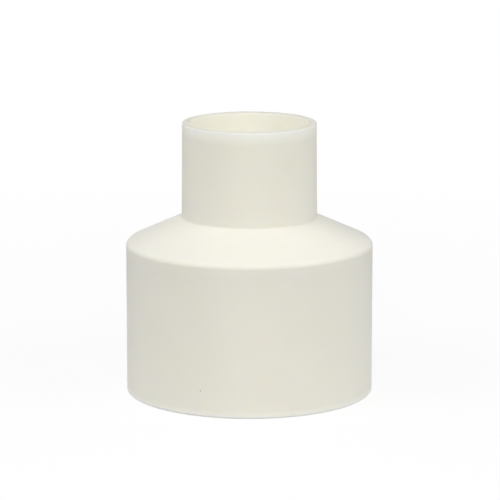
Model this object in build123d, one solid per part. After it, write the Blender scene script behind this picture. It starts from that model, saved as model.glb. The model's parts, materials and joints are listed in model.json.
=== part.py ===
from build123d import *

import os
from math import cos, radians, tan

# Concentric pipe reducer for solvent-welded pipe, 4 inch down to 2 inch, moulded in one piece.
# Millimetres, +Z up. The reducer stands on its wide mouth, and the origin is the centre of that mouth.
# Outlines are half sections in the XZ plane, given as (radius, height) points and turned about Z.

# The two pipes, and the gap that the cement fills on each side of them
LARGE_PIPE_OD = 114.3
SMALL_PIPE_OD = 60.3
PIPE_CLEARANCE = 0.15

# Sockets: how deep a pipe goes in, the wall round its mouth, and the ledge that stops it
LARGE_SOCKET_DEPTH = 63.0
LARGE_WALL = 3.85
LARGE_STOP = 2.8
SMALL_SOCKET_DEPTH = 36.0
SMALL_WALL = 2.85
SMALL_STOP = 2.4

# Cone between the sockets, and the plain wall left between each pipe stop and the cone's edge
CONE_SLOPE_DEG = 24.7
CONE_WALL = 3.85
SHOULDER_RISE = 12.2
NECK_RISE = 11.0

# Mould draft on the outside of the neck
NECK_DRAFT_DEG = 0.45

# Rounded edges outside
SHOULDER_ROUND = 3.0
NECK_FILLET = 0.9
LIP_ROUND = 0.6

# Bevels: round the foot outside, and at both mouths inside, where they lead the pipes in
FOOT_BEVEL = 0.6
LARGE_LEAD_IN = 1.0
SMALL_LEAD_IN = 0.4

# Radii that follow from the pipes
large_bore = LARGE_PIPE_OD / 2 + PIPE_CLEARANCE
small_bore = SMALL_PIPE_OD / 2 + PIPE_CLEARANCE
land_radius = large_bore - LARGE_STOP
throat_radius = small_bore - SMALL_STOP

# Outside radii and heights, from the wide mouth up
cone_rise = tan(radians(CONE_SLOPE_DEG))
neck_length = NECK_RISE + SMALL_SOCKET_DEPTH
body_radius = large_bore + LARGE_WALL
lip_radius = small_bore + SMALL_WALL
shoulder_height = LARGE_SOCKET_DEPTH + SHOULDER_RISE
neck_radius = lip_radius + neck_length * tan(radians(NECK_DRAFT_DEG))
neck_height = shoulder_height + (body_radius - neck_radius) * cone_rise
height = neck_height + neck_length
small_stop_height = height - SMALL_SOCKET_DEPTH


def inner_cone_height(radius):
    """Height of the passage's cone, which lies one wall thickness inside the outer cone."""
    drop = CONE_WALL / cos(radians(CONE_SLOPE_DEG))
    return shoulder_height + (body_radius - radius) * cone_rise - drop


def half_section(outline):
    """The flat face inside a closed outline."""
    return make_face(Polyline(*outline, close=True))


def turned(section):
    """The solid that a half section makes when it is turned about Z."""
    return revolve(Plane.XZ * section, Axis.Z)


def outer_form():
    """The moulding with no hollow: wide body, cone and neck."""
    shoulder = (body_radius, shoulder_height)
    neck = (neck_radius, neck_height)
    lip = (lip_radius, height)
    outline = [
        (0, 0),
        (body_radius - FOOT_BEVEL, 0),
        (body_radius, FOOT_BEVEL),
        shoulder,
        neck,
        lip,
        (0, height),
    ]
    section = half_section(outline)
    for corner, radius in [(shoulder, SHOULDER_ROUND), (neck, NECK_FILLET), (lip, LIP_ROUND)]:
        vertex = section.vertices().sort_by_distance(corner)[0]
        section = fillet(vertex, radius)
    return turned(section)


def passage():
    """The hollow right through: large socket, its pipe stop, inner cone, throat, and small socket."""
    outline = [
        (0, 0),
        (large_bore + LARGE_LEAD_IN, 0),
        (large_bore, LARGE_LEAD_IN),
        (large_bore, LARGE_SOCKET_DEPTH),
        (land_radius, LARGE_SOCKET_DEPTH),
        (land_radius, inner_cone_height(land_radius)),
        (throat_radius, inner_cone_height(throat_radius)),
        (throat_radius, small_stop_height),
        (small_bore, small_stop_height),
        (small_bore, height - SMALL_LEAD_IN),
        (small_bore + SMALL_LEAD_IN, height),
        (0, height),
    ]
    return turned(half_section(outline))


reducer = outer_form() - passage()

os.makedirs("parts", exist_ok=True)
export_step(reducer, "parts/reducer.step")
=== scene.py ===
import json
import math

import bpy
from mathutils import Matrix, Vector


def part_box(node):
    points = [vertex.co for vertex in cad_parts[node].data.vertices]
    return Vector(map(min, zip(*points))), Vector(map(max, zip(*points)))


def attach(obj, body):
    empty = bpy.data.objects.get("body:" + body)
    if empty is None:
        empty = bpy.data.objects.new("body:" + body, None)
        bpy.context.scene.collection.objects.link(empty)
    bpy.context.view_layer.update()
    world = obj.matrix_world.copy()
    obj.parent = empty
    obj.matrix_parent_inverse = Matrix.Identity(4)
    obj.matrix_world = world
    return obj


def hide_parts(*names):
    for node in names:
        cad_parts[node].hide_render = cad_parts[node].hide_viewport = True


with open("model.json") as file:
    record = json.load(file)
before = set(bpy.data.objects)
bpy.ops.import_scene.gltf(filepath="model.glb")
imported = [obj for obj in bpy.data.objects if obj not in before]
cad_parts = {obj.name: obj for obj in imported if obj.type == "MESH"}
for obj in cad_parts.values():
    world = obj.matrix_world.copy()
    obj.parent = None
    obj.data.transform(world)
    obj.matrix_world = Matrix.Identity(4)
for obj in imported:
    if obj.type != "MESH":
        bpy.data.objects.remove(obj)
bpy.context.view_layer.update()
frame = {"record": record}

# A cream PVC pipe reducer that stands on its wide mouth, on a white table under studio lamps.
# Lengths are in metres, and MM turns millimetres into metres.
MM = 0.001

# Sizes that the solid and its two sockets give
mounts = {mount["name"]: mount["dims"] for mount in frame["record"]["mounts"]}
reducer_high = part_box("reducer")[1]
HEIGHT = reducer_high.z
BODY_RADIUS = reducer_high.x
LARGE_BORE = mounts["large_socket"]["r_mm"] * MM
SMALL_BORE = mounts["small_socket"]["r_mm"] * MM

# Sizes of the moulding's section: sockets, pipe stops, cone, neck and bevels
LARGE_SOCKET_DEPTH = 63.0 * MM
LARGE_STOP = 2.8 * MM
SMALL_SOCKET_DEPTH = 36.0 * MM
SMALL_WALL = 2.85 * MM
SMALL_STOP = 2.4 * MM
CONE_SLOPE = math.radians(24.7)
CONE_WALL = 3.85 * MM
SHOULDER_RISE = 12.2 * MM
NECK_RISE = 11.0 * MM
NECK_DRAFT = math.radians(0.45)
FOOT_BEVEL = 0.6 * MM
LARGE_LEAD_IN = 1.0 * MM
SMALL_LEAD_IN = 0.4 * MM

# Rounding of its corners: the three that show, and the slight one that the mould leaves on all the others
SHOULDER_ROUND = 3.0 * MM
NECK_FILLET = 0.9 * MM
LIP_ROUND = 0.6 * MM
MOULD_EDGE = 0.25 * MM

# How finely the section is turned: steps round the axis, steps of a rounded corner, and along a straight run
TURN_STEPS = 288
ARC_STEP = math.radians(11)
LEAST_ARC_STEPS = 3
RUN_STEP = 4.0 * MM

# Cream PVC: its colour and the slightly warmer one where the melt flowed, as linear red, green and blue
CREAM = (0.87, 0.857, 0.78, 1.0)
WARM_CREAM = (0.86, 0.844, 0.76, 1.0)
# The bore is painted a paler cream as painted light, and a band outside each rim as a painted glow
BORE_CREAM_PAINTED_LIGHT = (0.925, 0.902, 0.806, 1.0)
RIM_PAINTED_GLOW = (0.975, 0.958, 0.875, 1.0)
LIP_GLOW_BAND = 6.5 * MM
FOOT_GLOW_BAND = 3.5 * MM
# The flat top of the lip and the bevel inside it are painted darker, as painted shade
LIP_TOP_PAINTED_SHADE = (0.70, 0.686, 0.62, 1.0)
# Painted glow and painted shade over each skin: the height at which one starts, the height from which it is
# full, and its colour
OUTSIDE_PAINTED_GLOW_AND_SHADE = [
    (FOOT_GLOW_BAND, 0.0, RIM_PAINTED_GLOW),
    (HEIGHT - LIP_GLOW_BAND, HEIGHT - LIP_ROUND, RIM_PAINTED_GLOW),
    (HEIGHT - LIP_ROUND * 3 / 4, HEIGHT - LIP_ROUND / 4, LIP_TOP_PAINTED_SHADE),
]
BORE_PAINTED_SHADE = [(HEIGHT - SMALL_LEAD_IN * 3 / 2, HEIGHT - SMALL_LEAD_IN, LIP_TOP_PAINTED_SHADE)]
# How it bends light, and how strongly the skin mirrors
PVC_IOR = 1.5
PVC_SHINE = 0.18
# How far light spreads under the skin: the distance, and each colour's share of it
GLOW_DEPTH = 3.0 * MM
GLOW_SPREAD = (1.0, 0.95, 0.8)
# Flow clouds in the colour, as wide as the patches of gloss, and the fine peel of the skin with its heights
CLOUD_SIZE = 22.0 * MM
PEEL_SIZE = 1.6 * MM
SKIN_PEEL = 0.010 * MM
BORE_PEEL = 0.014 * MM
# Roughness, from the smoothest patches to the roughest
SKIN_SATIN = (0.48, 0.58)
BORE_SATIN = (0.52, 0.64)
# Finer layers in each noise texture, and the range that most of its values fall in
CLOUD_DETAIL = 3.0
PEEL_DETAIL = 2.0
GLOSS_DETAIL = 4.0
NOISE_MIDDLE = (0.3, 0.7)

# A black speck moulded into the skin low on the front, to the left
SPECK_BLACK = (0.09, 0.085, 0.07, 1.0)
SPECK_WIDTH = 0.6 * MM
SPECK_HEIGHT = 12.9 * MM
SPECK_TURN = math.radians(-22.7)

# Round light table, whose own light on the reducer is full out to TABLE_MIDDLE and fades out at the rim
TABLE_RADIUS = 0.6
TABLE_MIDDLE = 0.1
TABLE_EDGES = 96
TABLE_LIGHT = 0.46
# The share of the lamps' light that it throws back, and the share of its white that a shadow can take away
TABLE_GREY = 0.12
TABLE_SHADOW = 0.12
WHITE = (1.0, 1.0, 1.0, 1.0)

# Softboxes that face the reducer: turn from the front and height, both in degrees, and watts
LAMP_DISTANCE = 1.6
LAMP_WIDTH = 0.9
LAMP_AIM = Vector((0.0, 0.0, 0.07))
LAMPS = {
    "front_softbox": (0, 30, 11.3),
    "right_softbox": (60, 30, 10.1),
    "left_softbox": (-60, 45, 10.9),
    "right_back_softbox": (120, 30, 4.2),
    "left_back_softbox": (-120, 30, 4.5),
    "back_softbox": (180, 60, 2.1),
}

# Camera, as the photograph was taken
CAMERA_DISTANCE = 1.439
CAMERA_HEIGHT = 0.370
CAMERA_SIDE = 0.0003
CAMERA_PITCH = math.radians(11.757)
# Its lens and the width of its film, in millimetres
CAMERA_LENS = 213.1
CAMERA_FILM = 36.0

# A mix node's kind, and the places of its two inputs and of its result among its sockets
NUMBERS = ("FLOAT", 2, 3, 0)
COLOURS = ("RGBA", 6, 7, 2)


def section_corners():
    """Corners of the half section as (radius, height, rounding), outside first, then the passage."""
    rise = math.tan(CONE_SLOPE)
    shoulder_height = LARGE_SOCKET_DEPTH + SHOULDER_RISE
    lip_radius = SMALL_BORE + SMALL_WALL
    neck_length = NECK_RISE + SMALL_SOCKET_DEPTH
    neck_radius = lip_radius + neck_length * math.tan(NECK_DRAFT)
    neck_height = HEIGHT - neck_length
    small_stop = HEIGHT - SMALL_SOCKET_DEPTH
    throat_radius = SMALL_BORE - SMALL_STOP
    land_radius = LARGE_BORE - LARGE_STOP
    cone_foot = shoulder_height - CONE_WALL / math.cos(CONE_SLOPE)
    throat_foot = cone_foot + (BODY_RADIUS - throat_radius) * rise
    land_top = cone_foot + (BODY_RADIUS - land_radius) * rise
    outside = [
        (BODY_RADIUS - FOOT_BEVEL, 0, MOULD_EDGE),
        (BODY_RADIUS, FOOT_BEVEL, MOULD_EDGE),
        (BODY_RADIUS, shoulder_height, SHOULDER_ROUND),
        (neck_radius, neck_height, NECK_FILLET),
        (lip_radius, HEIGHT, LIP_ROUND),
    ]
    passage = [
        (SMALL_BORE + SMALL_LEAD_IN, HEIGHT, MOULD_EDGE),
        (SMALL_BORE, HEIGHT - SMALL_LEAD_IN, MOULD_EDGE),
        (SMALL_BORE, small_stop, MOULD_EDGE),
        (throat_radius, small_stop, MOULD_EDGE),
        (throat_radius, throat_foot, MOULD_EDGE),
        (land_radius, land_top, MOULD_EDGE),
        (land_radius, LARGE_SOCKET_DEPTH, MOULD_EDGE),
        (LARGE_BORE, LARGE_SOCKET_DEPTH, MOULD_EDGE),
        (LARGE_BORE, LARGE_LEAD_IN, MOULD_EDGE),
        (LARGE_BORE + LARGE_LEAD_IN, 0, MOULD_EDGE),
    ]
    return outside, passage


def rounded_corner(before, corner, after, rounding):
    """Points of the arc at a corner, each with the outward normal there."""
    way_in = (corner - before).normalized()
    way_out = (after - corner).normalized()
    turn = math.atan2(way_in.x * way_out.y - way_in.y * way_out.x, way_in.dot(way_out))
    outward = Vector((way_in.y, -way_in.x))
    # The radius counts as negative where the corner goes in
    radius = math.copysign(rounding, turn)
    start = corner - way_in * rounding * math.tan(abs(turn) / 2)
    centre = start - outward * radius
    steps = max(LEAST_ARC_STEPS, math.ceil(abs(turn) / ARC_STEP))
    arc = []
    for step in range(steps + 1):
        angle = turn * step / steps
        normal = Vector((
            outward.x * math.cos(angle) - outward.y * math.sin(angle),
            outward.x * math.sin(angle) + outward.y * math.cos(angle),
        ))
        arc.append((centre + normal * radius, normal))
    return arc


def divided_run(start, end, normal, inside):
    """Points between the ends of a straight run, so that no face along it is much longer than RUN_STEP."""
    parts = math.ceil((end - start).length / RUN_STEP)
    return [(start.lerp(end, part / parts), normal, inside) for part in range(1, parts)]


def section_rings():
    """Points of the closed half section as (point, normal, True in the passage), with long runs divided."""
    outside, passage = section_corners()
    corners = outside + passage
    points = [Vector(corner[:2]) for corner in corners]
    rings = []
    for index, corner in enumerate(corners):
        after = points[(index + 1) % len(points)]
        arc = rounded_corner(points[index - 1], points[index], after, corner[2])
        inside = index >= len(outside)
        if rings:
            start, normal, was_inside = rings[-1]
            rings.extend(divided_run(start, arc[0][0], normal, was_inside))
        rings.extend((point, normal, inside) for point, normal in arc)
    return rings


def turned_moulding(name, skins):
    """The section turned about Z into one closed mesh of quads, with true normals."""
    rings = section_rings()
    count = len(rings)
    vertices, normals, faces, skin_of_face = [], [], [], []
    for turn in range(TURN_STEPS):
        angle = 2 * math.pi * turn / TURN_STEPS
        along_x, along_y = math.cos(angle), math.sin(angle)
        next_turn = (turn + 1) % TURN_STEPS
        for ring, (point, normal, inside) in enumerate(rings):
            vertices.append((point.x * along_x, point.x * along_y, point.y))
            normals.append((normal.x * along_x, normal.x * along_y, normal.y))
            next_ring = (ring + 1) % count
            faces.append((
                turn * count + ring,
                next_turn * count + ring,
                next_turn * count + next_ring,
                turn * count + next_ring,
            ))
            skin_of_face.append(int(inside))
    mesh = bpy.data.meshes.new(name)
    mesh.from_pydata(vertices, [], faces)
    for skin in skins:
        mesh.materials.append(skin)
    mesh.polygons.foreach_set("material_index", skin_of_face)
    mesh.polygons.foreach_set("use_smooth", [True] * len(faces))
    mesh.normals_split_custom_set_from_vertices(normals)
    mesh.update()
    moulding = bpy.data.objects.new(name, mesh)
    bpy.context.scene.collection.objects.link(moulding)
    return moulding


def new_effect(name, inputs, outputs):
    """An empty shader node group, with its input and output nodes; sockets come as (name, kind) pairs."""
    group = bpy.data.node_groups.new(name, "ShaderNodeTree")
    for socket, kind in inputs:
        group.interface.new_socket(socket, in_out="INPUT", socket_type="NodeSocket" + kind)
    for socket, kind in outputs:
        group.interface.new_socket(socket, in_out="OUTPUT", socket_type="NodeSocket" + kind)
    return group, group.nodes.new("NodeGroupInput"), group.nodes.new("NodeGroupOutput")


def give(tree, socket, value):
    """Links an input socket to the output socket that is given, or else sets it to the number or colour."""
    if isinstance(value, bpy.types.NodeSocket):
        tree.links.new(value, socket)
    else:
        socket.default_value = value


def calculated(tree, operation, first, second):
    """The result of one sum with two values, each a number or a socket."""
    node = tree.nodes.new("ShaderNodeMath")
    node.operation = operation
    give(tree, node.inputs[0], first)
    give(tree, node.inputs[1], second)
    return node.outputs["Value"]


def ranged(tree, value, start, end, low, high):
    """A value between start and end, spread evenly over low to high and held beyond both ends."""
    spread = tree.nodes.new("ShaderNodeMapRange")
    tree.links.new(value, spread.inputs["Value"])
    for socket, bound in (("From Min", start), ("From Max", end), ("To Min", low), ("To Max", high)):
        give(tree, spread.inputs[socket], bound)
    return spread.outputs["Result"]


def mixed(tree, kind, share, first, second):
    """The first value where the share is 0, the second where it is 1; each is a socket or a fixed value."""
    data_type, first_input, second_input, result = kind
    mix = tree.nodes.new("ShaderNodeMix")
    mix.data_type = data_type
    tree.links.new(share, mix.inputs["Factor"])
    give(tree, mix.inputs[first_input], first)
    give(tree, mix.inputs[second_input], second)
    return mix.outputs[result]


def sized_noise(tree, place, size, detail):
    """A noise texture whose patches are about as wide as the size that the socket gives."""
    noise = tree.nodes.new("ShaderNodeTexNoise")
    noise.inputs["Detail"].default_value = detail
    tree.links.new(calculated(tree, "DIVIDE", 1.0, size), noise.inputs["Scale"])
    tree.links.new(place, noise.inputs["Vector"])
    return noise.outputs["Fac"]


def flow_clouds():
    """Colour: faint clouds of a second tone, left where the melt flowed round the mould's core."""
    group, given, result = new_effect(
        "flow_clouds",
        [("Place", "Vector"), ("Colour", "Color"), ("Cloud Colour", "Color"), ("Cloud Size", "Float")],
        [("Colour", "Color")],
    )
    cloud = sized_noise(group, given.outputs["Place"], given.outputs["Cloud Size"], CLOUD_DETAIL)
    share = ranged(group, cloud, *NOISE_MIDDLE, 0.0, 1.0)
    tones = mixed(group, COLOURS, share, given.outputs["Colour"], given.outputs["Cloud Colour"])
    group.links.new(tones, result.inputs["Colour"])
    return group


def moulded_skin():
    """Height of the fine peel that the mould prints on the skin, and a gloss that drifts over it."""
    group, given, result = new_effect(
        "moulded_skin",
        [
            ("Place", "Vector"),
            ("Peel Size", "Float"),
            ("Gloss Size", "Float"),
            ("Smoothest", "Float"),
            ("Roughest", "Float"),
        ],
        [("Height", "Float"), ("Roughness", "Float")],
    )
    peel = sized_noise(group, given.outputs["Place"], given.outputs["Peel Size"], PEEL_DETAIL)
    drift = sized_noise(group, given.outputs["Place"], given.outputs["Gloss Size"], GLOSS_DETAIL)
    roughness = ranged(group, drift, *NOISE_MIDDLE, given.outputs["Smoothest"], given.outputs["Roughest"])
    group.links.new(peel, result.inputs["Height"])
    group.links.new(roughness, result.inputs["Roughness"])
    return group


def height_band():
    """A mask that comes in over a stretch of height, and holds beyond its end."""
    group, given, result = new_effect(
        "height_band", [("Place", "Vector"), ("Start", "Float"), ("Full", "Float")], [("Share", "Float")]
    )
    place = group.nodes.new("ShaderNodeSeparateXYZ")
    group.links.new(given.outputs["Place"], place.inputs["Vector"])
    share = ranged(group, place.outputs["Z"], given.outputs["Start"], given.outputs["Full"], 0.0, 1.0)
    group.links.new(share, result.inputs["Share"])
    return group


def placed_effect(tree, group, place, **values):
    """A node group in a material, with its own values on its sockets; names take spaces for underscores."""
    node = tree.nodes.new("ShaderNodeGroup")
    node.node_tree = group
    tree.links.new(place, node.inputs["Place"])
    for name, value in values.items():
        node.inputs[name.replace("_", " ").title()].default_value = value
    return node


def new_material(name):
    """An empty node material with its node tree and a Principled shader that feeds its output."""
    material = bpy.data.materials.new(name)
    material.use_nodes = True
    tree = material.node_tree
    tree.nodes.clear()
    output = tree.nodes.new("ShaderNodeOutputMaterial")
    shader = tree.nodes.new("ShaderNodeBsdfPrincipled")
    tree.links.new(shader.outputs["BSDF"], output.inputs["Surface"])
    return material, tree, shader


def cream_pvc(name, colour, clouds, skin, satin, peel_height):
    """Cream rigid PVC as it leaves the mould: light glows a little way under a satin skin."""
    material, tree, shader = new_material(name)
    place = tree.nodes.new("ShaderNodeTexCoord").outputs["Object"]
    tones = placed_effect(
        tree, clouds, place, colour=colour, cloud_colour=WARM_CREAM, cloud_size=CLOUD_SIZE
    )
    surface = placed_effect(
        tree, skin, place, peel_size=PEEL_SIZE, gloss_size=CLOUD_SIZE, smoothest=satin[0], roughest=satin[1]
    )
    relief = tree.nodes.new("ShaderNodeBump")
    relief.inputs["Distance"].default_value = peel_height
    tree.links.new(tones.outputs["Colour"], shader.inputs["Base Color"])
    tree.links.new(surface.outputs["Roughness"], shader.inputs["Roughness"])
    tree.links.new(surface.outputs["Height"], relief.inputs["Height"])
    tree.links.new(relief.outputs["Normal"], shader.inputs["Normal"])
    shader.inputs["IOR"].default_value = PVC_IOR
    shader.inputs["Specular IOR Level"].default_value = PVC_SHINE
    shader.inputs["Subsurface Weight"].default_value = 1.0
    shader.inputs["Subsurface Radius"].default_value = GLOW_SPREAD
    shader.inputs["Subsurface Scale"].default_value = GLOW_DEPTH
    return material


def laid_over(material, mask, colour):
    """A second colour laid over a material's own, where the mask is 1."""
    tree = material.node_tree
    base = tree.nodes["Principled BSDF"].inputs["Base Color"]
    tree.links.new(mixed(tree, COLOURS, mask, base.links[0].from_socket, colour), base)


def add_painted_glow_and_shade(material, band, tones):
    """Painted glow and painted shade: other tones of cream that come in over a stretch of height, each laid
    over the one before.
    """
    tree = material.node_tree
    place = tree.nodes["Texture Coordinate"].outputs["Object"]
    for start, full, colour in tones:
        mask = placed_effect(tree, band, place, start=start, full=full)
        laid_over(material, mask.outputs["Share"], colour)


def add_speck(material):
    """A black speck in the skin, where a burnt grain lies in the moulding, with a soft edge."""
    tree = material.node_tree
    reach = tree.nodes.new("ShaderNodeVectorMath")
    reach.operation = "DISTANCE"
    reach.inputs[1].default_value = (
        BODY_RADIUS * math.sin(SPECK_TURN),
        -BODY_RADIUS * math.cos(SPECK_TURN),
        SPECK_HEIGHT,
    )
    tree.links.new(tree.nodes["Texture Coordinate"].outputs["Object"], reach.inputs[0])
    mask = ranged(tree, reach.outputs["Value"], SPECK_WIDTH / 2, SPECK_WIDTH / 4, 0.0, 1.0)
    laid_over(material, mask, SPECK_BLACK)


def seen_directly(tree):
    """A socket that is 1 to the camera, in reflections and through glass, and 0 for light on the reducer."""
    path = tree.nodes.new("ShaderNodeLightPath")
    seen = path.outputs["Is Camera Ray"]
    for other_sight in ("Is Glossy Ray", "Is Transmission Ray"):
        seen = calculated(tree, "MAXIMUM", seen, path.outputs[other_sight])
    return seen


def white_table():
    """A round light table that reads white to the camera and still takes the reducer's soft shadow."""
    material, tree, shader = new_material("table_white")
    reach = tree.nodes.new("ShaderNodeVectorMath")
    reach.operation = "LENGTH"
    tree.links.new(tree.nodes.new("ShaderNodeTexCoord").outputs["Object"], reach.inputs[0])
    own_light = ranged(tree, reach.outputs["Value"], TABLE_MIDDLE, TABLE_RADIUS, TABLE_LIGHT, 0.0)
    shadow_grey = ranged(tree, reach.outputs["Value"], TABLE_MIDDLE, TABLE_RADIUS, TABLE_SHADOW, 0.0)
    seen = seen_directly(tree)
    grey = mixed(tree, NUMBERS, seen, TABLE_GREY, shadow_grey)
    glow = mixed(tree, NUMBERS, seen, own_light, calculated(tree, "SUBTRACT", 1.0, shadow_grey))
    tree.links.new(grey, shader.inputs["Base Color"])
    tree.links.new(glow, shader.inputs["Emission Strength"])
    shader.inputs["Emission Color"].default_value = WHITE
    shader.inputs["Specular IOR Level"].default_value = 0.0
    turns = [2 * math.pi * edge / TABLE_EDGES for edge in range(TABLE_EDGES)]
    rim = [(TABLE_RADIUS * math.cos(turn), TABLE_RADIUS * math.sin(turn), 0) for turn in turns]
    mesh = bpy.data.meshes.new("table_top")
    mesh.from_pydata(rim, [], [range(TABLE_EDGES)])
    mesh.materials.append(material)
    table = bpy.data.objects.new("table_top", mesh)
    bpy.context.scene.collection.objects.link(table)
    return table


def studio_lamps():
    """Square softboxes in a ring round the reducer."""
    for name, (turn, rise, watts) in LAMPS.items():
        light = bpy.data.lights.new(name, "AREA")
        light.shape = "SQUARE"
        light.size = LAMP_WIDTH
        light.energy = watts
        lamp = bpy.data.objects.new(name, light)
        turn, rise = math.radians(turn), math.radians(rise)
        way = Vector((math.sin(turn) * math.cos(rise), -math.cos(turn) * math.cos(rise), math.sin(rise)))
        lamp.location = LAMP_AIM + way * LAMP_DISTANCE
        lamp.rotation_euler = (-way).to_track_quat("-Z", "Y").to_euler()
        bpy.context.scene.collection.objects.link(lamp)


def white_room():
    """A world that is plain white to the camera and in reflections, and gives no light of its own."""
    world = bpy.data.worlds.new("white_room")
    bpy.context.scene.world = world
    world.use_nodes = True
    tree = world.node_tree
    tree.nodes.clear()
    output = tree.nodes.new("ShaderNodeOutputWorld")
    backdrop = tree.nodes.new("ShaderNodeBackground")
    backdrop.inputs["Color"].default_value = WHITE
    tree.links.new(seen_directly(tree), backdrop.inputs["Strength"])
    tree.links.new(backdrop.outputs["Background"], output.inputs["Surface"])


def photo_camera():
    """A long lens in front of the reducer, a little above it."""
    camera = bpy.data.objects.new("photo_camera", bpy.data.cameras.new("photo_camera"))
    camera.data.sensor_width = CAMERA_FILM
    camera.data.lens = CAMERA_LENS
    camera.location = (CAMERA_SIDE, -CAMERA_DISTANCE, CAMERA_HEIGHT)
    camera.rotation_euler = (math.pi / 2 - CAMERA_PITCH, 0, 0)
    bpy.context.scene.collection.objects.link(camera)
    bpy.context.scene.camera = camera


clouds, skin, band = flow_clouds(), moulded_skin(), height_band()
outer_skin = cream_pvc("cream_pvc_outside", CREAM, clouds, skin, SKIN_SATIN, SKIN_PEEL)
# Painted glow along both rims, and painted shade on the lip's top
add_painted_glow_and_shade(outer_skin, band, OUTSIDE_PAINTED_GLOW_AND_SHADE)
add_speck(outer_skin)
# The bore's paler cream is painted light, and the bevel inside its lip gets painted shade
bore_skin = cream_pvc("cream_pvc_bore", BORE_CREAM_PAINTED_LIGHT, clouds, skin, BORE_SATIN, BORE_PEEL)
add_painted_glow_and_shade(bore_skin, band, BORE_PAINTED_SHADE)
moulding = turned_moulding("reducer_moulding", [outer_skin, bore_skin])
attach(moulding, "root")
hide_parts("reducer")

white_table()
studio_lamps()
white_room()
photo_camera()
bpy.context.scene.view_settings.view_transform = "Standard"
